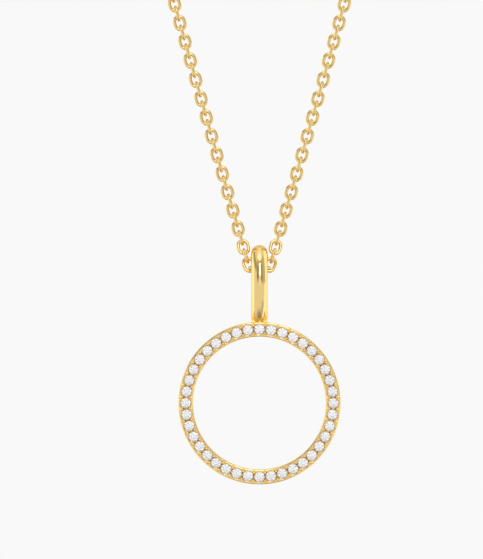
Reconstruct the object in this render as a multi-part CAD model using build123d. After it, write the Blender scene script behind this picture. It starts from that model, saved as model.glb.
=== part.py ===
from build123d import *

import math
import os

# Open circle pendant on a fine cable chain, in millimetres.
# +Z is up, +X to the wearer's left as seen from the front, and the front faces -Y.
# The origin is the middle of the nape, on the chain's centre line, inside the clasp's ring.

# The open circle: a flat band with stones all round its front
CIRCLE_DIAMETER = 16.0
BAND_WIDTH = 1.45
BAND_THICKNESS = 1.8
FRONT_EDGE_ROUND = 0.14
BACK_EDGE_ROUND = 0.25
RAIL_WIDTH = 0.17
RAIL_HEIGHT = 0.06

# The stones: round brilliants
STONE_COUNT = 40
STONE_DIAMETER = 1.0
TABLE_SHARE = 0.57
CROWN_ANGLE = 34.5
PAVILION_ANGLE = 40.75
STAR_ANGLE = 20.5
UPPER_HALF_ANGLE = 41.5
LOWER_HALF_ANGLE = 42.2
GIRDLE_THICKNESS = 0.036
GIRDLE_SIDES = 32
STONE_TURN = 137.5
GIRDLE_DEPTH = 0.10

# The seats drilled for the stones, with a flared mouth, open at the back
SEAT_CLEARANCE = 0.03
SEAT_MOUTH_FLARE = 0.07
SEAT_MOUTH_DEPTH = 0.045
LIGHT_HOLE_RADIUS = 0.30
LIGHT_HOLE_FLARE = 0.12

# The beads that hold the stones, two in each space between neighbours
BEAD_RADIUS = 0.155
BEAD_OFFSET = 0.40
BEAD_SINK = 0.05
BEAD_ROOT_RADIUS = 0.10
PIT_RADIUS = 0.10
PIT_OFFSET = 0.19
PIT_DEPTH = 0.28

# The bail: a closed loop of half-round wire, an oval seen from the side. The oval is four arcs: a
# crown at each end, turned this many degrees each way, and a gentler arc at the front and back.
BAIL_WIDTH = 1.62
BAIL_WALL = 0.85
BAIL_DEPTH = 4.9
BAIL_CROWN_TURN = 50.0
BAIL_INNER_EDGE_ROUND = 0.12
BAIL_HEIGHT = 7.58
BAIL_SINK = 0.20
CHAIN_HEADROOM = 1.38
FOOT_DIAMETER = 1.58
FOOT_SINK = 0.12
FOOT_RISE = 0.60

# The chain: oval links of round wire
LINK_PITCH = 0.961
LINK_WIDTH = 1.31
WIRE_DIAMETER = 0.30
LINK_CLEARANCE = 0.11
MIDDLE_LINK_EXTRA = 0.60
FRONT_LINKS_EACH_SIDE = 40
BACK_CHAIN_DIAMETER = 1.31

# How the chain leaves the bail: degrees from upright of the first links, outward and backward,
# then the outward lean of a chain that carries the pendant, which steepens as more of the
# chain's own weight is carried
FIRST_LEANS = [(20.0, 10.0), (17.0, 28.0), (14.0, 14.0)]
HANGING_LEAN = 16.2
STEEPENING_LENGTH = 500.0

# Where the bail's swing axis lies from the nape
NAPE_RISE = 171.5
NAPE_BACK = 78.0

# The chain's route on the wearer's left, from above the front links back to the nape
CHAIN_ROUTE = [
    (15.9, -77.6, -113.4),
    (21.9, -74.4, -88.0),
    (28.2, -65.6, -62.8),
    (33.8, -50.4, -40.6),
    (35.8, -31.8, -23.6),
    (30.6, -15.0, -10.8),
    (20.0, -5.2, -3.7),
    (9.7, -1.0, -0.7),
]
CORNER_SHARE = 0.45

# The clasp: a plain closed spring ring with its small eye
CLASP_RING_DIAMETER = 5.4
CLASP_WIRE = 1.0
CLASP_EYE_DIAMETER = 1.9
CLASP_EYE_WIRE = 0.5
CLASP_CLEARANCE = 0.15

# How far a cut runs past the surface that it opens
CUT_OVERSHOOT = 0.10

# Places worked out from the sizes
outer_radius = CIRCLE_DIAMETER / 2
pitch_radius = outer_radius - BAND_WIDTH / 2
stone_radius = STONE_DIAMETER / 2
front_y = -BAND_THICKNESS / 2
floor_y = front_y + RAIL_HEIGHT
girdle_y = front_y + GIRDLE_DEPTH
stone_step = 360 / STONE_COUNT
crown_height = stone_radius * (1 - TABLE_SHARE) * math.tan(math.radians(CROWN_ANGLE))
bail_top = outer_radius + BAIL_HEIGHT
bail_bottom = outer_radius - BAIL_SINK
swing_height = bail_top - BAIL_WALL - CHAIN_HEADROOM
swing_axis = Vector(0, -NAPE_BACK, -NAPE_RISE)
circle_centre = swing_axis - Vector(0, 0, swing_height)
link_length = LINK_PITCH + 2 * WIRE_DIAMETER + LINK_CLEARANCE


def around(angle, radius):
    """A place on the circle's face, its angle in degrees clockwise from the top."""
    turn = math.radians(angle)
    return radius * math.sin(turn), radius * math.cos(turn)


def band():
    """The open circle before its seats: a flat section with rounded edges and a sunk floor."""
    half = BAND_WIDTH / 2
    with BuildSketch(Plane.XY) as section:
        with Locations((pitch_radius, 0)):
            Rectangle(BAND_WIDTH, BAND_THICKNESS)
        fillet(section.vertices().group_by(Axis.Y)[0], FRONT_EDGE_ROUND)
        fillet(section.vertices().group_by(Axis.Y)[-1], BACK_EDGE_ROUND)
        with Locations((pitch_radius, front_y)):
            Rectangle(2 * (half - RAIL_WIDTH), 2 * RAIL_HEIGHT, mode=Mode.SUBTRACT)
    return revolve(section.sketch, Axis.Y, 360)


def bail_section():
    """The half-round wire's section: X across the width, Y outward from the inner face."""
    half = BAIL_WIDTH / 2
    with BuildSketch(Plane.XY) as section:
        with Locations((0, BAIL_WALL - half)):
            Circle(half)
        with Locations((0, -half)):
            Rectangle(BAIL_WIDTH, 2 * half, mode=Mode.SUBTRACT)
        fillet(section.vertices().group_by(Axis.Y)[0], BAIL_INNER_EDGE_ROUND)
    return section.sketch


def bail_radii():
    """The outer radii of the oval's crowns and of its sides, which meet in line."""
    turn = math.radians(BAIL_CROWN_TURN)
    reach = BAIL_DEPTH / 2
    rise = (bail_top - bail_bottom) / 2
    share = math.sin(turn) + math.cos(turn) - 1
    crown = (reach * math.cos(turn) - rise * (1 - math.sin(turn))) / share
    side = (rise * math.sin(turn) - reach * (1 - math.cos(turn))) / share
    return crown, side


def bail_bend(centre, radius, first, last):
    """A stretch of the bail bent about a centre: tilts in degrees from upright to the front."""
    tilt = math.radians(first)
    outward = Vector(0, -math.sin(tilt), math.cos(tilt))
    origin = centre + outward * (radius - BAIL_WALL)
    plane = Plane(origin=origin, x_dir=(1, 0, 0), z_dir=(0, -math.cos(tilt), -math.sin(tilt)))
    return revolve(plane * bail_section(), Axis(centre, (1, 0, 0)), last - first)


def bail():
    """The bail: an oval of four arcs, on a short round foot above the circle."""
    crown, side = bail_radii()
    turn = BAIL_CROWN_TURN
    offset = side - BAIL_DEPTH / 2
    middle = (bail_top + bail_bottom) / 2
    loop = [
        bail_bend(Vector(0, 0, bail_top - crown), crown, -turn, turn),
        bail_bend(Vector(0, offset, middle), side, turn, 180 - turn),
        bail_bend(Vector(0, 0, bail_bottom + crown), crown, 180 - turn, 180 + turn),
        bail_bend(Vector(0, -offset, middle), side, 180 + turn, 360 - turn),
    ]
    foot_height = FOOT_SINK + FOOT_RISE
    foot_middle = outer_radius - FOOT_SINK + foot_height / 2
    foot = Pos(0, 0, foot_middle) * Cylinder(FOOT_DIAMETER / 2, foot_height)
    return foot + loop


def seat():
    """The space drilled for one stone, with its axis on local Z and the stone's table up."""
    bore = stone_radius + SEAT_CLEARANCE
    slope = math.tan(math.radians(PAVILION_ANGLE))
    ledge = -GIRDLE_THICKNESS / 2 - SEAT_CLEARANCE
    throat = ledge - (bore - LIGHT_HOLE_RADIUS) * slope
    top = GIRDLE_DEPTH + CUT_OVERSHOOT
    floor = GIRDLE_DEPTH - RAIL_HEIGHT
    mouth = bore + SEAT_MOUTH_FLARE
    back = GIRDLE_DEPTH - BAND_THICKNESS
    flare = LIGHT_HOLE_RADIUS + LIGHT_HOLE_FLARE
    profile = [
        (0, top),
        (mouth, top),
        (mouth, floor),
        (bore, floor - SEAT_MOUTH_DEPTH),
        (bore, ledge),
        (LIGHT_HOLE_RADIUS, throat),
        (LIGHT_HOLE_RADIUS, back + LIGHT_HOLE_FLARE),
        (flare, back),
        (flare, back - CUT_OVERSHOOT),
        (0, back - CUT_OVERSHOOT),
    ]
    return revolve(Plane.XZ * make_face(Polyline(*profile, close=True)), Axis.Z, 360)


def on_face(angle, radius, depth_y):
    """A location on the circle's front with local Z pointing to the viewer."""
    x, z = around(angle, radius)
    return Pos(x, depth_y, z) * Rot(0, angle, 0) * Rot(90, 0, 0)


def circle_and_bail():
    """The soldered metal: band and bail, cut for the stones, with the beads raised."""
    metal = band() + bail()
    drill = seat()
    pit = Pos(0, 0, -PIT_DEPTH / 2) * Cylinder(PIT_RADIUS, PIT_DEPTH)
    seats = []
    pits = []
    beads = []
    for index in range(STONE_COUNT):
        angle = index * stone_step
        between = angle + stone_step / 2
        seats.append(on_face(angle, pitch_radius, girdle_y) * drill)
        for side in (-1, 1):
            pits.append(on_face(between, pitch_radius + side * PIT_OFFSET, floor_y) * pit)
            beads += bead(between, side)
    metal = metal - seats
    metal = metal - pits
    metal = metal + beads
    return metal


def bead(angle, side):
    """One bead and its root, which runs out to the rail on its side of the stones."""
    bead_y = floor_y + BEAD_SINK - BEAD_ROOT_RADIUS
    root_length = BAND_WIDTH / 2 - RAIL_WIDTH / 2 - BEAD_OFFSET
    root_middle = pitch_radius + side * (BEAD_OFFSET + root_length / 2)
    rod = Rot(90, 0, 0) * Cylinder(BEAD_ROOT_RADIUS, root_length)
    ball = on_face(angle, pitch_radius + side * BEAD_OFFSET, bead_y) * Sphere(BEAD_RADIUS)
    root = on_face(angle, root_middle, bead_y) * rod
    return [ball, root]


# The stone's facets, row by row: the place of the first facet round the stone in degrees, the
# number of facets, their slope, the height that they start from, and how far out they start
# there, as a share of the stone's radius
FACET_ROWS = [
    {"first": 0.0, "count": 8, "slope": CROWN_ANGLE, "level": "crown edge", "share": 1.0},
    {"first": 22.5, "count": 8, "slope": STAR_ANGLE, "level": "table", "share": TABLE_SHARE},
    {"first": 11.25, "count": 16, "slope": UPPER_HALF_ANGLE, "level": "crown edge", "share": 1.0},
    {"first": 0.0, "count": 8, "slope": PAVILION_ANGLE, "level": "pavilion edge", "share": 1.0},
    {"first": 11.25, "count": 16, "slope": LOWER_HALF_ANGLE, "level": "pavilion edge", "share": 1.0},
]


def facet_planes(row):
    """The cutting planes of one row of facets."""
    edge = GIRDLE_THICKNESS / 2
    levels = {"crown edge": edge, "table": edge + crown_height, "pavilion edge": -edge}
    height = levels[row["level"]]
    upward = -1 if row["level"] == "pavilion edge" else 1
    reach = row["share"] * stone_radius
    starts_between_corners = row["first"] > 0
    if starts_between_corners:
        reach = reach * math.cos(math.pi / row["count"])
    slope = math.radians(row["slope"])
    planes = []
    for index in range(row["count"]):
        turn = math.radians(row["first"] + index * 360 / row["count"])
        point = (reach * math.cos(turn), reach * math.sin(turn), height)
        sideways = math.sin(slope)
        normal = (sideways * math.cos(turn), sideways * math.sin(turn), upward * math.cos(slope))
        planes.append(Plane(origin=point, z_dir=normal))
    return planes


def brilliant():
    """One round brilliant, table up, with the middle of its girdle at the origin."""
    top = GIRDLE_THICKNESS / 2 + crown_height
    bottom = -GIRDLE_THICKNESS / 2 - stone_radius
    blank = RegularPolygon(stone_radius, GIRDLE_SIDES)
    stone = extrude(Plane.XY.offset(bottom) * blank, top - bottom)
    for row in FACET_ROWS:
        for plane in facet_planes(row):
            stone = split(stone, bisect_by=plane, keep=Keep.BOTTOM)
    return stone


def link(extra=0):
    """One link, long way on local Z, flat in the local XZ plane."""
    bend = (LINK_WIDTH - WIRE_DIAMETER) / 2
    straight = link_length - LINK_WIDTH + extra
    side = straight / 2
    section = Plane(origin=(bend, 0, side), z_dir=(0, 0, 1)) * Circle(WIRE_DIAMETER / 2)
    other = Plane(origin=(-bend, 0, -side), z_dir=(0, 0, 1)) * Circle(WIRE_DIAMETER / 2)
    upper = revolve(section, Axis((0, 0, side), (0, -1, 0)), 180)
    lower = revolve(other, Axis((0, 0, -side), (0, -1, 0)), 180)
    right = extrude(section, -straight)
    left = extrude(other, straight)
    return upper + lower + right + left


def lean(number):
    """Degrees from upright of a front link, outward and backward. The first is beside the bail."""
    if number <= len(FIRST_LEANS):
        return FIRST_LEANS[number - 1]
    carried = (number - len(FIRST_LEANS)) * LINK_PITCH / STEEPENING_LENGTH
    return math.degrees(math.atan(math.tan(math.radians(HANGING_LEAN)) / (1 + carried))), 0


def leaning(outward, backward):
    """The direction that leans so many degrees outward and backward from upright."""
    return Plane(Rot(0, outward, 0) * Rot(-backward, 0, 0)).z_dir


def front_stretch():
    """Each front link's centre on the wearer's left, where they end and in which direction.

    Where two links hook, the stretch between their wires leans outward with the link that faces
    front, and backward with the one seen edge on, so the gap between the wires stays the same.
    """
    reach = (link_length - WIRE_DIAMETER) / 2
    overlap = WIRE_DIAMETER + LINK_CLEARANCE
    wire = swing_axis + Vector(reach + MIDDLE_LINK_EXTRA / 2, 0, 0)
    before = lean(1)
    centres = []
    for number in range(1, FRONT_LINKS_EACH_SIDE + 1):
        here = lean(number)
        faces_front = number % 2 == 1
        hook = (here[0], before[1]) if faces_front else (before[0], here[1])
        along = leaning(*here)
        centre = wire - leaning(*hook) * overlap + along * reach
        centres.append(centre)
        wire = centre + along * reach
        before = here
    return centres, wire, along


front_centres, front_end, front_direction = front_stretch()


def chain_front():
    """The interlocking links near the bail. Every second one is seen edge on from the front."""
    shape = link()
    edge_on = Rot(0, 0, 90) * shape
    links = [Pos(swing_axis) * Rot(0, 90, 0) * Rot(0, 0, 90) * link(MIDDLE_LINK_EXTRA)]
    for number, centre in enumerate(front_centres, start=1):
        turned = shape if number % 2 else edge_on
        outward, backward = lean(number)
        for side in (1, -1):
            place = Pos(side * centre.X, centre.Y, centre.Z)
            links.append(place * Rot(0, side * outward, 0) * Rot(-backward, 0, 0) * turned)
    return Compound(links)


def corner_radii(points):
    """The bend at each inner point of a route, as large as its two runs allow."""
    radii = []
    for before, here, after in zip(points, points[1:], points[2:]):
        arriving = here - before
        leaving = after - here
        half_turn = math.radians(arriving.get_angle(leaving)) / 2
        shorter = min(arriving.length, leaving.length)
        radii.append(CORNER_SHARE * shorter / math.tan(half_turn))
    return radii


def back_tube(side, end_x):
    """The hidden stretch of one side as a tube: straight runs joined by tangent arcs."""
    start = front_end + front_direction * (WIRE_DIAMETER / 2 + LINK_CLEARANCE)
    points = [start] + [Vector(point) for point in CHAIN_ROUTE] + [Vector(end_x, 0, 0)]
    points = [Vector(side * point.X, point.Y, point.Z) for point in points]
    radii = corner_radii(points)
    path = FilletPolyline(*points, radius=radii)
    section = Plane(origin=path @ 0, z_dir=path % 0) * Circle(BACK_CHAIN_DIAMETER / 2)
    tube = sweep(section, path=path.wire())
    expected = math.pi * BACK_CHAIN_DIAMETER**2 / 4 * path.length
    share = tube.volume / expected
    print("corner radii", [round(radius, 1) for radius in radii])
    print("tube length", round(path.length, 2), "volume", round(share, 4), "of section x length")
    return tube, path.length


def chain_back():
    """The hidden stretch up both sides and round the neck to the clasp."""
    ring_side = CLASP_RING_DIAMETER / 2 + CLASP_CLEARANCE
    eye_side = CLASP_RING_DIAMETER / 2 + CLASP_EYE_DIAMETER - CLASP_EYE_WIRE + CLASP_CLEARANCE
    left, left_length = back_tube(1, ring_side)
    right, right_length = back_tube(-1, eye_side)
    front = (2 * FRONT_LINKS_EACH_SIDE + 1) * LINK_PITCH + MIDDLE_LINK_EXTRA
    print("loop length", round(front + left_length + right_length + ring_side + eye_side, 1))
    return Compound([left, right])


def clasp():
    """The spring ring with its small eye, closed, flat against the nape."""
    ring_radius = (CLASP_RING_DIAMETER - CLASP_WIRE) / 2
    eye_radius = (CLASP_EYE_DIAMETER - CLASP_EYE_WIRE) / 2
    eye_x = -(CLASP_RING_DIAMETER - CLASP_EYE_WIRE) / 2 - eye_radius
    ring = Rot(90, 0, 0) * Torus(ring_radius, CLASP_WIRE / 2)
    eye = Pos(eye_x, 0, 0) * Rot(90, 0, 0) * Torus(eye_radius, CLASP_EYE_WIRE / 2)
    return ring + eye


def stones():
    """The stones in their seats, each turned a little further, as set by hand."""
    shape = brilliant()
    placed = {}
    for index in range(STONE_COUNT):
        place = Pos(circle_centre) * on_face(index * stone_step, pitch_radius, girdle_y)
        placed[f"stone_{index + 1:02d}"] = place * Rot(0, 0, index * STONE_TURN) * shape
    return placed


os.makedirs("parts", exist_ok=True)
nodes = {
    "circle_and_bail": Pos(circle_centre) * circle_and_bail(),
    "chain_front": chain_front(),
    "chain_back": chain_back(),
    "clasp": clasp(),
}
nodes.update(stones())
for name, shape in nodes.items():
    export_step(shape, f"parts/{name}.step")
print(len(nodes), "nodes written")
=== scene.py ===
# %% [markdown]
# An open circle pendant on a fine cable chain, finished as for a jeweller's photograph.
# The metal circle with its bail, the clasp and the forty stones already have their real shape
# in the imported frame, so they only need a finish. The chain is different: its links touch in
# the real one, and it has hundreds of them, so both of its stretches are made here, link by link.
# The smallest things come last: a jump ring and a lever at the clasp, and a lip round each stone.

import math

import bmesh
import bpy
from mathutils import Matrix, Vector


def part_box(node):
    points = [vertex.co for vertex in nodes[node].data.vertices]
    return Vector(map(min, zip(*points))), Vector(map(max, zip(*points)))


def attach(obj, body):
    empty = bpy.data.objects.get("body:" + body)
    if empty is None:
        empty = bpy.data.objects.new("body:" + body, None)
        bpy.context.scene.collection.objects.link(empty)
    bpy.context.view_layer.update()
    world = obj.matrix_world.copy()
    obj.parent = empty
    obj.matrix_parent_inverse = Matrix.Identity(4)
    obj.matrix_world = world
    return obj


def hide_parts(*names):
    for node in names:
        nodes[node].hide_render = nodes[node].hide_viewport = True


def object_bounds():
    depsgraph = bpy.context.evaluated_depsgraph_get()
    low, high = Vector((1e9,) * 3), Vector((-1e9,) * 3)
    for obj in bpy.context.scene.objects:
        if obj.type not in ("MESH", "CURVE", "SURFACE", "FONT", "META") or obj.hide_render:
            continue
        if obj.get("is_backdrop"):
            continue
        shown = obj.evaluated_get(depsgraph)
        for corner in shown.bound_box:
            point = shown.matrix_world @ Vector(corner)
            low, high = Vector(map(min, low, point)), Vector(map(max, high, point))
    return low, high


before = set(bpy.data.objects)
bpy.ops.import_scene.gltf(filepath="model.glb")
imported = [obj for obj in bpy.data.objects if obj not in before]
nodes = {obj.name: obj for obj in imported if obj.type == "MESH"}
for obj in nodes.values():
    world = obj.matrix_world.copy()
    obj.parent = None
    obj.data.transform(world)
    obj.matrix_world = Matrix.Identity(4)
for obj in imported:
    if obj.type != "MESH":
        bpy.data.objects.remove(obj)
cad_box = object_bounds()
MM = 0.001

# %% [markdown]
# Every finish and the studio are small trees of nodes. One helper adds a node, sets its options
# and fills or links its inputs. A few more stand for the nodes that are needed again and again,
# so each tree reads as a list of steps. Colours are written as the hex values that a screen
# shows, and one function turns them into light.


# %% Helpers for nodes and colours
def add(tree, kind, values=None, **options):
    """Adds a node to a tree. Values fill its inputs, or link them if they are sockets."""
    node = tree.nodes.new(kind)
    for name, option in options.items():
        setattr(node, name, option)
    for name, value in (values or {}).items():
        if isinstance(value, bpy.types.NodeSocket):
            tree.links.new(value, node.inputs[name])
        else:
            node.inputs[name].default_value = value
    return node


def maths(tree, operation, *values):
    """The result of one operation on its values."""
    return add(tree, "ShaderNodeMath", dict(enumerate(values)), operation=operation).outputs[0]


def mix(tree, share, first, second):
    """A value that goes from the first to the second as the share goes from nought to one."""
    return add(tree, "ShaderNodeMix", {"Factor": share, "A": first, "B": second}).outputs["Result"]


def carry(tree, value, source, target=(0.0, 1.0), **options):
    """A value carried over from one range to another."""
    ends = {"From Min": source[0], "From Max": source[1], "To Min": target[0], "To Max": target[1]}
    return add(tree, "ShaderNodeMapRange", {"Value": value, **ends}, **options).outputs[0]


def past(tree, value, low, high):
    """Nought up to one value, one from the other on, and smooth between them."""
    return carry(tree, value, (low, high), interpolation_type="SMOOTHSTEP")


def noise(tree, place, length, detail):
    """Soft noise whose swells are about so many millimetres long."""
    values = {"Vector": place, "Scale": 1 / (length * MM), "Detail": detail}
    return add(tree, "ShaderNodeTexNoise", values).outputs[0]


def colour(hex_value):
    """The light of an sRGB hex colour, with full alpha."""
    channels = [int(hex_value[start:start + 2], 16) / 255 for start in (0, 2, 4)]
    light = [c / 12.92 if c <= 0.04045 else ((c + 0.055) / 1.055) ** 2.4 for c in channels]
    return (*light, 1.0)


print("middle grey as light", [round(channel, 3) for channel in colour("808080")])

# %% [markdown]
# Polished gold has no look of its own: it shows what stands round it. A jeweller's tent is pale
# all over, with a window of light in front, dark flags beside it that draw crisp lines on round
# metal, and bright sides that line its edges. The tent is drawn in the world by bearing, from
# the camera's own direction round to the back, and by height, both in degrees. So the metal
# finds the tent in every direction, and the camera sees plain paper instead. One of the side
# lights is a bowed sheet: its front edge lies further back above and below the middle. Light that
# has gone through a stone comes from all over the tent at once, so there it is nearly even.

# %% The studio
PAPER = "F9F9F9"
TENT = 0.80
STONE_LIGHT = 1.30
STONE_EVENNESS = 0.68
SIDE_BOW = 0.0166
ALL_ROUND = (-270, 270)
# Each panel: its edges in bearing and height, how softly they fade (both sides, below, above),
# how bright it is, and how far it is bowed
PANELS = [
    {"name": "ground", "bearing": ALL_ROUND, "height": (-120, -59), "soft": (20, 20, 24), "light": 0.32},
    {"name": "low right", "bearing": (40, 76), "height": (-62, -30), "soft": (14, 10, 12), "light": 0.52},
    {"name": "right room", "bearing": (44, 88), "height": (1, 44), "soft": (10, 8, 8), "light": 0.54},
    {"name": "left flag", "bearing": (-39, -7), "height": (9, 43), "soft": (9, 20, 8), "light": 0.25},
    {"name": "left beam", "bearing": (-118, -44), "height": (26, 43), "soft": (12, 8, 6), "light": 0.36},
    {"name": "right flag", "bearing": (20, 46), "height": (6, 44), "soft": (9, 12, 8), "light": 0.25},
    {"name": "belt", "bearing": (-50, 75), "height": (44, 54), "soft": (14, 4, 6), "light": 0.50},
    {"name": "glow", "bearing": (-5, 21), "height": (0, 21), "soft": (6, 8, 6), "light": 0.92},
    {"name": "window", "bearing": (-6, 21), "height": (21, 47), "soft": (5, 6, 4), "light": 3.0},
    {
        "name": "left light", "bearing": (-142, -80), "height": (-60, 24), "soft": (12, 14, 10),
        "light": 1.24, "bow": -SIDE_BOW,
    },
    {"name": "right light", "bearing": (74, 148), "height": (-60, 3), "soft": (12, 14, 6), "light": 1.16},
    {"name": "upper light", "bearing": (90, 148), "height": (3, 45), "soft": (12, 6, 14), "light": 1.16},
    {"name": "overhead", "bearing": (-46, 46), "height": (55, 72), "soft": (26, 6, 10), "light": 1.30},
    {"name": "zenith", "bearing": ALL_ROUND, "height": (72, 120), "soft": (20, 10, 10), "light": 0.95},
]

world = bpy.data.worlds.new("tent")
bpy.context.scene.world = world
world.use_nodes = True
sky = world.node_tree
sky.nodes.clear()
direction = add(sky, "ShaderNodeTexCoord").outputs["Generated"]
parts = add(sky, "ShaderNodeSeparateXYZ", {"Vector": direction})
forward = maths(sky, "MULTIPLY", parts.outputs["Y"], -1.0)
bearing = maths(sky, "DEGREES", maths(sky, "ARCTAN2", parts.outputs["X"], forward))
height = maths(sky, "DEGREES", maths(sky, "ARCSINE", parts.outputs["Z"]))
height_squared = maths(sky, "MULTIPLY", height, height)


def between(angle, edges, soft_low, soft_high):
    """One between two edges and nought outside them, fading over a soft width at each."""
    low, high = edges
    starts = past(sky, angle, low - soft_low / 2, low + soft_low / 2)
    ends = past(sky, angle, high + soft_high / 2, high - soft_high / 2)
    return maths(sky, "MULTIPLY", starts, ends)


light = TENT
for panel in PANELS:
    side_soft, soft_below, soft_above = panel["soft"]
    bowed = maths(sky, "MULTIPLY_ADD", height_squared, -panel.get("bow", 0.0), bearing)
    side_mask = between(bowed, panel["bearing"], side_soft, side_soft)
    height_mask = between(height, panel["height"], soft_below, soft_above)
    light = mix(sky, maths(sky, "MULTIPLY", side_mask, height_mask), light, panel["light"])
ray = add(sky, "ShaderNodeLightPath")
evenness = maths(sky, "MULTIPLY", ray.outputs["Is Transmission Ray"], STONE_EVENNESS)
light = mix(sky, evenness, light, STONE_LIGHT)
tent = add(sky, "ShaderNodeBackground", {"Color": (1, 1, 1, 1), "Strength": light}).outputs[0]
paper = add(sky, "ShaderNodeBackground", {"Color": colour(PAPER), "Strength": 1.0}).outputs[0]
shown = add(sky, "ShaderNodeMixShader", {0: ray.outputs["Is Camera Ray"], 1: tent, 2: paper})
add(sky, "ShaderNodeOutputWorld", {"Surface": shown.outputs[0]})
bpy.context.scene.view_settings.view_transform = "Standard"
print("panels of light", [panel["name"] for panel in PANELS])

# %% [markdown]
# The photograph looks straight at the pendant through a long lens. Its frame is 483 by 559, and
# the circle, 162 pixels across, is 16 mm, which gives the height that the frame covers.

# %% The camera
FRAME_HEIGHT_PIXELS = 559
FRAME_WIDTH_PIXELS = 483
CIRCLE_PIXELS = 162.3
CIRCLE_CENTRE_PIXELS = (259.45, 403.05)
CAMERA_DISTANCE = 900.0
SENSOR = 36.0

circle_low, circle_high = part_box("circle_and_bail")
circle_diameter = circle_high.x - circle_low.x
middle_y = (circle_low.y + circle_high.y) / 2
circle_centre = Vector((0, middle_y, circle_low.z + circle_diameter / 2))
pixel = circle_diameter / CIRCLE_PIXELS
view_x = circle_centre.x + (FRAME_WIDTH_PIXELS / 2 - CIRCLE_CENTRE_PIXELS[0]) * pixel
view_z = circle_centre.z + (CIRCLE_CENTRE_PIXELS[1] - FRAME_HEIGHT_PIXELS / 2) * pixel
camera = bpy.data.objects.new("camera", bpy.data.cameras.new("camera"))
camera.data.sensor_width = SENSOR
camera.data.lens = SENSOR * CAMERA_DISTANCE * MM / (FRAME_HEIGHT_PIXELS * pixel)
camera.location = (view_x, middle_y - CAMERA_DISTANCE * MM, view_z)
camera.rotation_euler = (math.pi / 2, 0, 0)
bpy.context.scene.collection.objects.link(camera)
bpy.context.scene.camera = camera
print("camera at", [round(value / MM, 2) for value in camera.location], "mm")

# %% [markdown]
# The floor is a round sheet of pale board below the pendant. It is too low and too small to come
# into the photograph, and it stays out of the metal's mirror, where the tent already has a ground.

# %% The floor
FLOOR_DROP = 30.0
FLOOR_RADIUS = 330.0
FLOOR_SIDES = 96
BOARD = "F6F6F6"
BOARD_ROUGHNESS = 0.9

sheet = bmesh.new()
bmesh.ops.create_circle(sheet, cap_ends=True, segments=FLOOR_SIDES, radius=FLOOR_RADIUS * MM)
floor_centre = (0, circle_centre.y / 2, circle_low.z - FLOOR_DROP * MM)
bmesh.ops.translate(sheet, verts=sheet.verts[:], vec=floor_centre)
floor = bpy.data.objects.new("floor", bpy.data.meshes.new("floor"))
sheet.to_mesh(floor.data)
sheet.free()
bpy.context.scene.collection.objects.link(floor)
board = bpy.data.materials.new("matt_white_board")
board.use_nodes = True
board.node_tree.nodes.clear()
matt_values = {"Base Color": colour(BOARD), "Roughness": BOARD_ROUGHNESS}
matt = add(board.node_tree, "ShaderNodeBsdfPrincipled", matt_values)
add(board.node_tree, "ShaderNodeOutputMaterial", {"Surface": matt.outputs[0]})
floor.data.materials.append(board)
floor.visible_glossy = False
floor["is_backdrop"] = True
print("floor", round(FLOOR_DROP), "mm below the circle")

# %% [markdown]
# The metal is 18 carat yellow gold, cast or drawn to shape and then polished on a felt wheel. A
# wheel doesn't leave a perfect mirror: the face stays very slightly wavy, and some places come up
# duller than others. Noise in the metal's own coordinates gives both, at the sizes that a
# jeweller's eyeglass shows. Gold is still yellow at a glancing angle, so its edge tint is gold too.
# A chain is too fine for a wheel. It is tumbled with steel shot instead. Its gold is set a touch
# less red, and a shade darker as painted shade for the shade that its hooked links throw on each
# other.

# %% Polished gold
GOLD = "FFDE96"
GOLD_EDGE = "FFE3A6"
# Painted shade: the chain's gold is a shade darker, standing for the shade between hooked links
SHADED_WIRE_GOLD = "F3D794"
GOLD_ROUGHNESS = (0.04, 0.09)
DULL_PLACE = 0.8
DULL_NOISE = (0.35, 0.65)
WAVE_LENGTH = 0.45
WAVE_HEIGHT = 0.0006


def start_material(name):
    """A material with an empty tree, and the tree."""
    material = bpy.data.materials.new(name)
    material.use_nodes = True
    material.node_tree.nodes.clear()
    return material, material.node_tree


def polish(tree):
    """The roughness and the normal that polishing leaves on metal."""
    place = add(tree, "ShaderNodeTexCoord").outputs["Object"]
    dull = carry(tree, noise(tree, place, DULL_PLACE, detail=3.0), DULL_NOISE, GOLD_ROUGHNESS)
    swell = noise(tree, place, WAVE_LENGTH, detail=1.0)
    wavy = add(tree, "ShaderNodeBump", {"Height": swell, "Distance": WAVE_HEIGHT * MM})
    return dull, wavy.outputs[0]


def finish_gold(tree, base, dullness, waviness):
    """The gold's shader, from its colour, its roughness and its normal."""
    shader = add(
        tree, "ShaderNodeBsdfPrincipled",
        {
            "Base Color": base, "Metallic": 1.0, "Specular Tint": colour(GOLD_EDGE),
            "Roughness": dullness, "Normal": waviness,
        },
    )
    add(tree, "ShaderNodeOutputMaterial", {"Surface": shader.outputs[0]})


gold, gold_tree = start_material("polished_yellow_gold")
finish_gold(gold_tree, colour(GOLD), *polish(gold_tree))
# The chain's material: its darker gold is painted shade
wire_gold, wire_tree = start_material("gold_wire_with_painted_shade")
finish_gold(wire_tree, colour(SHADED_WIRE_GOLD), *polish(wire_tree))
print("gold", GOLD, "wire", SHADED_WIRE_GOLD, "dull places", DULL_PLACE, "mm across")

# %% [markdown]
# Between the stones the setter's graver and drill leave small pits that no wheel reaches. They
# stay matt, and their gold is painted darker: painted shade for the shade that falls into them.
# The circle's gold is the same metal with that painted shade added: a place is in a pit if it is
# below the band's floor and above the pits' ends, near the middle of the band and half way
# between two stones.

# %% Gold between the stones
STONES = 40
STONE_STEP = 360 / STONES
PITCH_RADIUS = 7.275
BAND_FRONT = 0.9
# Where a pit fades from nothing to full: millimetres off the circle that the stones stand on, and
# degrees from the middle of the nearest stone
PIT_OFF_PITCH = (0.31, 0.25)
PIT_FROM_STONE = (3.2, 3.6)
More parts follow.
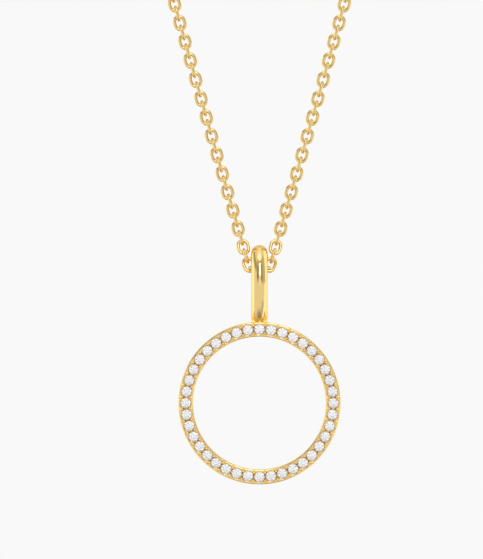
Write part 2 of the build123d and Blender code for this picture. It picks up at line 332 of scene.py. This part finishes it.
# How far a pit's mouth and end lie behind the band's front, and how softly both fade
PIT_MOUTH = 0.095
PIT_END = 0.40
PIT_FADE = 0.02
# Painted shade: a darker gold that stands for the shade falling into the pits
PIT_SHADE_GOLD = "D8AC68"
PIT_ROUGHNESS = 0.4

set_gold, set_tree = start_material("polished_gold_with_set_stones")
place = add(set_tree, "ShaderNodeTexCoord").outputs["Object"]
front_centre = circle_centre - Vector((0, BAND_FRONT * MM, 0))
centre_to_place = {0: place, 1: tuple(front_centre)}
step = add(set_tree, "ShaderNodeVectorMath", centre_to_place, operation="SUBTRACT").outputs[0]
step_parts = add(set_tree, "ShaderNodeSeparateXYZ", {"Vector": step})
across, depth, upward = (step_parts.outputs[axis] for axis in ("X", "Y", "Z"))
across_squared = maths(set_tree, "MULTIPLY", across, across)
radius = maths(set_tree, "SQRT", maths(set_tree, "MULTIPLY_ADD", upward, upward, across_squared))
off_pitch = maths(set_tree, "ABSOLUTE", maths(set_tree, "SUBTRACT", radius, PITCH_RADIUS * MM))
clock = maths(set_tree, "DEGREES", maths(set_tree, "ARCTAN2", across, upward))
from_stone = maths(set_tree, "PINGPONG", clock, STONE_STEP / 2)
limits = [
    past(set_tree, off_pitch, PIT_OFF_PITCH[0] * MM, PIT_OFF_PITCH[1] * MM),
    past(set_tree, from_stone, *PIT_FROM_STONE),
    past(set_tree, depth, (PIT_MOUTH - PIT_FADE) * MM, (PIT_MOUTH + PIT_FADE) * MM),
    past(set_tree, depth, (PIT_END + PIT_FADE) * MM, (PIT_END - PIT_FADE) * MM),
]
pit = limits[0]
for limit in limits[1:]:
    pit = maths(set_tree, "MULTIPLY", pit, limit)
dullness, waviness = polish(set_tree)
# A mix node keeps its two colours in its inputs 6 and 7, and gives their mix as its output 2
# Painted shade: inside the pits the polished gold turns to the darker pit gold
golds = {"Factor": pit, 6: colour(GOLD), 7: colour(PIT_SHADE_GOLD)}
set_colour = add(set_tree, "ShaderNodeMix", golds, data_type="RGBA").outputs[2]
finish_gold(set_tree, set_colour, mix(set_tree, pit, dullness, PIT_ROUGHNESS), waviness)
print("pits", PIT_SHADE_GOLD, "every", STONE_STEP, "degrees")

# %% [markdown]
# The stones are round brilliants, cut from clear stone that bends light as strongly as diamond.
# Their facets throw the tent back from every side, so from the front a stone this small looks
# white more than clear. Small stones in one band are never quite alike: a soft noise tints some
# of them, and another leaves some facets a touch less sharply polished than the others.

# %% Clear stone
STONE_BENDING = 2.42
STONE_TINTS = ("FFFFFF", "F8F8FA")
TINT_NOISE = (0.4, 0.65)
TINT_LENGTH = 2.5
FACET_ROUGHNESS = (0.0, 0.03)
FACET_NOISE = (0.4, 0.7)
FACET_LENGTH = 0.4

stone, stone_tree = start_material("clear_brilliant_stone")
place = add(stone_tree, "ShaderNodeTexCoord").outputs["Object"]
tint_noise = noise(stone_tree, place, TINT_LENGTH, detail=1.0)
tint = add(stone_tree, "ShaderNodeValToRGB", {"Fac": tint_noise})
for stop, position, shade in zip(tint.color_ramp.elements, TINT_NOISE, STONE_TINTS):
    stop.position = position
    stop.color = colour(shade)
facet_noise = noise(stone_tree, place, FACET_LENGTH, detail=2.0)
glass = add(
    stone_tree, "ShaderNodeBsdfPrincipled",
    {
        "Base Color": tint.outputs["Color"], "Transmission Weight": 1.0, "IOR": STONE_BENDING,
        "Roughness": carry(stone_tree, facet_noise, FACET_NOISE, FACET_ROUGHNESS),
    },
)
add(stone_tree, "ShaderNodeOutputMaterial", {"Surface": glass.outputs[0]})
for name, node in nodes.items():
    finish = gold
    if name.startswith("stone"):
        finish = stone
    elif name == "circle_and_bail":
        finish = set_gold
    node.data.materials.clear()
    node.data.materials.append(finish)
print("stones", sum(name.startswith("stone") for name in nodes))

# %% [markdown]
# A link is a round wire bent to an oval and soldered shut. Here the wire's round end is spun
# through half a turn, drawn straight down one side, spun again and drawn back up to where it
# started. The links near the bail are seen close, so they have fine sides. Hundreds more run
# round the neck, so theirs are few. The link inside the bail is longer than the others.

# %% One link of the chain
LINK_PITCH = 0.961
LINK_WIDTH = 1.31
WIRE = 0.345
LINK_LENGTH = LINK_PITCH + 2 * WIRE
MIDDLE_LINK_EXTRA = 0.60
# How many sides the wire has, and how many steps each half turn
FINE = {"sides": 14, "steps": 14}
PLAIN = {"sides": 6, "steps": 5}
# Corners that stand closer than this share of a shape's thickness are one corner
SEAM = 0.01


def shape_mesh(name, shape, thickness, smooth=True):
    """The mesh of a shape, with its seams closed and its faces turned outward."""
    bmesh.ops.remove_doubles(shape, verts=shape.verts[:], dist=thickness * SEAM)
    bmesh.ops.recalc_face_normals(shape, faces=shape.faces[:])
    for face in shape.faces:
        face.smooth = smooth
    mesh = bpy.data.meshes.new(name)
    shape.to_mesh(mesh)
    print(name, len(shape.faces), "faces", "closed", all(edge.is_manifold for edge in shape.edges))
    shape.free()
    return mesh


def oval_link(name, sides, steps, extra=0.0):
    """A closed oval link in millimetres, long way on Z and flat in XZ, and extra long if asked."""
    link = bmesh.new()
    bend = (LINK_WIDTH - WIRE) / 2
    straight = LINK_LENGTH - LINK_WIDTH + extra
    bmesh.ops.create_circle(link, segments=sides, radius=WIRE / 2)
    bmesh.ops.translate(link, verts=link.verts[:], vec=(bend, 0, straight / 2))
    rim = link.edges[:]
    for side in (1, -1):
        centre = (0, 0, side * straight / 2)
        turned = bmesh.ops.spin(link, geom=rim, cent=centre, axis=(0, -1, 0), angle=math.pi, steps=steps)
        rim = [part for part in turned["geom_last"] if isinstance(part, bmesh.types.BMEdge)]
        drawn = bmesh.ops.extrude_edge_only(link, edges=rim)["geom"]
        ends = [part for part in drawn if isinstance(part, bmesh.types.BMVert)]
        bmesh.ops.translate(link, verts=ends, vec=(0, 0, -side * straight))
        rim = [part for part in drawn if isinstance(part, bmesh.types.BMEdge)]
        rim = [edge for edge in rim if edge.is_boundary]
    return shape_mesh(name, link, WIRE)


fine_link = oval_link("fine_link", **FINE)
middle_link = oval_link("middle_link", **FINE, extra=MIDDLE_LINK_EXTRA)
plain_link = oval_link("plain_link", **PLAIN)

# %% [markdown]
# The bail hangs on the middle link, which lies level. From there the chain climbs both sides, each
# link a quarter turn from the one before, so every second link is seen edge on. The first links
# come up behind the bail, leaning outward and back, before the chain finds its hanging line, which
# steepens slowly as it carries more of its own weight. Where two links hook, their wires touch, and
# the stretch from one wire's middle to the other's leans outward with the link that faces front
# and back with the one seen edge on. A machine doesn't bend every link quite alike, and in the
# photograph two runs of links stand a few hundredths of a millimetre closer or further apart.

# %% The links near the bail
FIRST_LEANS = [(20.0, 10.0), (17.0, 28.0), (14.0, 14.0)]
HANGING_LEAN = 16.2
STEEPENING_LENGTH = 500.0
# Those two runs: their first and last link, counted from the bail, and how much longer each link is
UNEVEN_RUNS = [(5, 10, -0.024), (20, 22, 0.025)]
FRONT_LINKS_EACH_SIDE = 40
SWING_AXIS = Vector((0, -78.0, -171.5))
FORWARD = Vector((0, -1, 0))
SIDEWAYS = Vector((1, 0, 0))
UPRIGHT = Vector((0, 0, 1))
reach = (LINK_LENGTH - WIRE) / 2


def lean(number):
    """Degrees from upright of a front link, outward and backward. The first is beside the bail."""
    if number <= len(FIRST_LEANS):
        return FIRST_LEANS[number - 1]
    carried = (number - len(FIRST_LEANS)) * LINK_PITCH / STEEPENING_LENGTH
    return math.degrees(math.atan(math.tan(math.radians(HANGING_LEAN)) / (1 + carried))), 0.0


def extra_length(number):
    """How much longer than the usual link a front link is, by its number."""
    return sum(extra for first, last, extra in UNEVEN_RUNS if first <= number <= last)


def leaning(side, outward, backward):
    """The direction that leans so many degrees outward and backward from upright."""
    outward, backward = math.radians(outward), math.radians(backward)
    level = math.cos(backward)
    return Vector((side * math.sin(outward) * level, math.sin(backward), math.cos(outward) * level))


def stand(centre, along, facing):
    """The place of a link: its centre, its long way and the way that its flat side faces."""
    long_way = along.normalized()
    flat = (facing - long_way * facing.dot(long_way)).normalized()
    across = flat.cross(long_way)
    turned = Matrix((across, flat, long_way)).transposed().to_4x4()
    return Matrix.Translation(centre) @ turned


def gold_piece(name, shapes, finish):
    """One gold piece in metres, with its finish, from meshes in millimetres, each with its place."""
    whole = bmesh.new()
    for shape, place in shapes:
        before = len(whole.verts)
        whole.from_mesh(shape)
        whole.verts.ensure_lookup_table()
        bmesh.ops.transform(whole, matrix=place, verts=whole.verts[before:])
    bmesh.ops.scale(whole, vec=(MM, MM, MM), verts=whole.verts[:])
    piece = bpy.data.objects.new(name, bpy.data.meshes.new(name))
    whole.to_mesh(piece.data)
    print(name, len(shapes), "shapes", len(whole.faces), "faces")
    whole.free()
    bpy.context.scene.collection.objects.link(piece)
    piece.data.materials.append(finish)
    return piece


front_links = [(middle_link, stand(SWING_AXIS, SIDEWAYS, UPRIGHT))]
front_ends = {}
link_shapes = {0: fine_link}
for first, last, extra in UNEVEN_RUNS:
    link_shapes[extra] = oval_link(f"link_{first}_to_{last}", **FINE, extra=extra)
for side in (1, -1):
    wire = SWING_AXIS + SIDEWAYS * side * (reach + MIDDLE_LINK_EXTRA / 2)
    before = lean(1)
    for number in range(1, FRONT_LINKS_EACH_SIDE + 1):
        here = lean(number)
        faces_front = number % 2 == 1
        hook = (here[0], before[1]) if faces_front else (before[0], here[1])
        along = leaning(side, *here)
        extra = extra_length(number)
        half = along * (reach + extra / 2)
        centre = wire - leaning(side, *hook) * WIRE + half
        facing = FORWARD if faces_front else along.cross(FORWARD)
        front_links.append((link_shapes[extra], stand(centre, along, facing)))
        wire = centre + half
        before = here
    front_ends[side] = wire
front_chain = gold_piece("front_chain", front_links, wire_gold)

# %% [markdown]
# The rest of the chain goes up both sides and round the neck to the clasp at the nape. It hangs
# along a smooth line through the frame's own route. The links are spaced evenly on that line,
# near enough to their pitch to look hooked, and they end with one that faces the way the clasp
# needs. The flat of every second link faces away from the neck.

# %% The links round the neck
CHAIN_ROUTE = [
    (15.9, -77.6, -113.4),
    (21.9, -74.4, -88.0),
    (28.2, -65.6, -62.8),
    (33.8, -50.4, -40.6),
    (35.8, -31.8, -23.6),
    (30.6, -15.0, -10.8),
    (20.0, -5.2, -3.7),
    (9.7, -1.0, -0.7),
]
NECK_MIDDLE = Vector((0, -39.0, 0))
LAST_LINK_LEFT = 4.28
LAST_LINK_RIGHT = -4.08
LINE_STEPS = 24
# All links stand back by this hair, so that rounding can't put the last one past the line's end
END_HAIR = 1e-6


def hanging_line(name, points):
    """The points of a smooth line that hangs along a few chosen points."""
    curve = bpy.data.curves.new(name, "CURVE")
    curve.dimensions = "3D"
    spline = curve.splines.new("NURBS")
    spline.points.add(len(points) - 1)
    for slot, point in zip(spline.points, points):
        slot.co = (*point, 1.0)
    spline.order_u = 3
    spline.use_endpoint_u = True
    spline.resolution_u = LINE_STEPS
    holder = bpy.data.objects.new(name, curve)
    bpy.context.scene.collection.objects.link(holder)
    bpy.context.view_layer.update()
    mesh = bpy.data.meshes.new_from_object(holder)
    line = [vertex.co.copy() for vertex in mesh.vertices]
    bpy.data.objects.remove(holder)
    return line


def at_length(line, lengths):
    """The point and the direction of a line at each of some lengths along it."""
    found = []
    run = 0.0
    wanted = list(lengths)
    for here, there in zip(line, line[1:]):
        step = there - here
        while wanted and wanted[0] <= run + step.length:
            found.append((here + step * ((wanted[0] - run) / step.length), step.normalized()))
            wanted.pop(0)
        run += step.length
    return found


back_links = []
first_centre = reach - WIRE
for side, last in ((1, LAST_LINK_LEFT), (-1, LAST_LINK_RIGHT)):
    points = [(side * x, y, z) for x, y, z in CHAIN_ROUTE]
    line = hanging_line("hanging_line", [front_ends[side], *points, (last, 0, 0)])
    length = sum((there - here).length for here, there in zip(line, line[1:]))
    run = length - first_centre
    last_is_edge_on = side == -1
    steps = 2 * round(run / LINK_PITCH / 2) + last_is_edge_on
    spacing = run / steps
    print("side", side, "length", round(length, 2), "links", steps + 1, "spacing", round(spacing, 4))
    lengths = [first_centre + index * spacing - END_HAIR for index in range(steps + 1)]
    for index, (centre, along) in enumerate(at_length(line, lengths)):
        outward = centre - NECK_MIDDLE
        outward.z = 0
        facing = outward if index % 2 == 0 else along.cross(outward)
        back_links.append((plain_link, stand(centre, along, facing)))
back_chain = gold_piece("back_chain", back_links, wire_gold)

# %% [markdown]
# A spring ring closes on a jump ring, a plain round ring of heavier wire at the other end of the
# chain. It lies level, through the clasp on one side and the last link on the other.

# %% The jump ring at the clasp
JUMP_RING_OUTER = 3.0
JUMP_RING_WIRE = 0.45
JUMP_RING_CENTRE = Vector((2.75, 0, 0))


def round_ring(name, radius, wire, sides, steps):
    """A level round ring in millimetres: a circle of wire spun once round the Z axis."""
    ring = bmesh.new()
    bmesh.ops.create_circle(ring, segments=sides, radius=wire / 2)
    bmesh.ops.rotate(ring, verts=ring.verts[:], matrix=Matrix.Rotation(math.pi / 2, 3, "X"))
    bmesh.ops.translate(ring, verts=ring.verts[:], vec=(radius, 0, 0))
    rim = ring.edges[:]
    bmesh.ops.spin(ring, geom=rim, axis=(0, 0, 1), angle=2 * math.pi, steps=steps, use_merge=True)
    return shape_mesh(name, ring, wire)


jump_ring_radius = (JUMP_RING_OUTER - JUMP_RING_WIRE) / 2
jump_ring_shape = round_ring("jump_ring_shape", jump_ring_radius, JUMP_RING_WIRE, sides=14, steps=40)
at_clasp = Matrix.Translation(JUMP_RING_CENTRE)
jump_ring = gold_piece("jump_ring", [(jump_ring_shape, at_clasp)], gold)

# %% [markdown]
# A spring ring is opened by a small lever, a knob on a short stem that slides along a slot in its
# outer side and draws back a curved bolt against a spring. The CAD clasp is the plain closed ring,
# so the lever is added here, above the side where the jump ring goes in.

# %% The clasp's lever
CLASP_RADIUS = 2.7
LEVER_ANGLE = 52.0
STEM_WIDTH = 0.24
STEM_SINK = 0.12
STEM_RISE = 0.16
STEM_SIDES = 16
KNOB_WIDTH = 0.58
KNOB_HEIGHT = 0.34
KNOB_MIDDLE = STEM_RISE + KNOB_HEIGHT / 4
KNOB_SIDES = 20
KNOB_RINGS = 12

stem = bmesh.new()
bmesh.ops.create_cone(
    stem, cap_ends=True, segments=STEM_SIDES, radius1=STEM_WIDTH / 2, radius2=STEM_WIDTH / 2,
    depth=STEM_SINK + STEM_RISE,
)
bmesh.ops.translate(stem, verts=stem.verts[:], vec=(0, 0, (STEM_RISE - STEM_SINK) / 2))
stem_shape = shape_mesh("stem_shape", stem, STEM_WIDTH, smooth=False)
knob = bmesh.new()
bmesh.ops.create_uvsphere(knob, u_segments=KNOB_SIDES, v_segments=KNOB_RINGS, radius=KNOB_WIDTH / 2)
bmesh.ops.scale(knob, vec=(1, 1, KNOB_HEIGHT / KNOB_WIDTH), verts=knob.verts[:])
bmesh.ops.translate(knob, verts=knob.verts[:], vec=(0, 0, KNOB_MIDDLE))
knob_shape = shape_mesh("knob_shape", knob, KNOB_WIDTH)
turned = Matrix.Rotation(math.radians(90 - LEVER_ANGLE), 4, "Y")
at_rim = turned @ Matrix.Translation((0, 0, CLASP_RADIUS))
clasp_lever = gold_piece("clasp_lever", [(stem_shape, at_rim), (knob_shape, at_rim)], gold)

# %% [markdown]
# Once a stone sits in its seat, the setter rubs the metal round it down against its girdle. That
# leaves a narrow bright lip round every stone, which closes the seat. The CAD model leaves a gap
# there, so the lips are made here: one thin ring, stood up to face forward and then repeated at
# each stone's place on the circle.

# %% The lips round the stones
LIP_RADIUS = 0.515
LIP_WIDTH = 0.055
LIP_BEHIND_FRONT = 0.15

lip_shape = round_ring("lip_shape", LIP_RADIUS, LIP_WIDTH, sides=6, steps=32)
stood_up = Matrix.Rotation(math.pi / 2, 4, "X")
at_top = Matrix.Translation((0, LIP_BEHIND_FRONT - BAND_FRONT, PITCH_RADIUS)) @ stood_up
to_centre = Matrix.Translation(circle_centre / MM)
lips = []
for number in range(STONES):
    turned = Matrix.Rotation(math.radians(number * STONE_STEP), 4, "Y")
    lips.append((lip_shape, to_centre @ turned @ at_top))
stone_lips = gold_piece("stone_lips", lips, gold)

# %% [markdown]
# The chain doesn't bend or turn in this model, so all of it rides on one body. Each new stretch
# stands for the frame's own one. The jump ring and the lever are additions that ride along, and
# the stones' lips ride on the pendant.

# %% Hang everything on its body
for piece in (front_chain, back_chain, jump_ring, clasp_lever):
    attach(piece, "chain")
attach(stone_lips, "pendant")
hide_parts("chain_front")
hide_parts("chain_back")

visual_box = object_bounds()
boxes = {
    "cad": [list(corner) for corner in cad_box],
    "visual": [list(corner) for corner in visual_box],
}
for name, corners in boxes.items():
    print(name, "box in mm", [[round(value / MM, 2) for value in corner] for corner in corners])
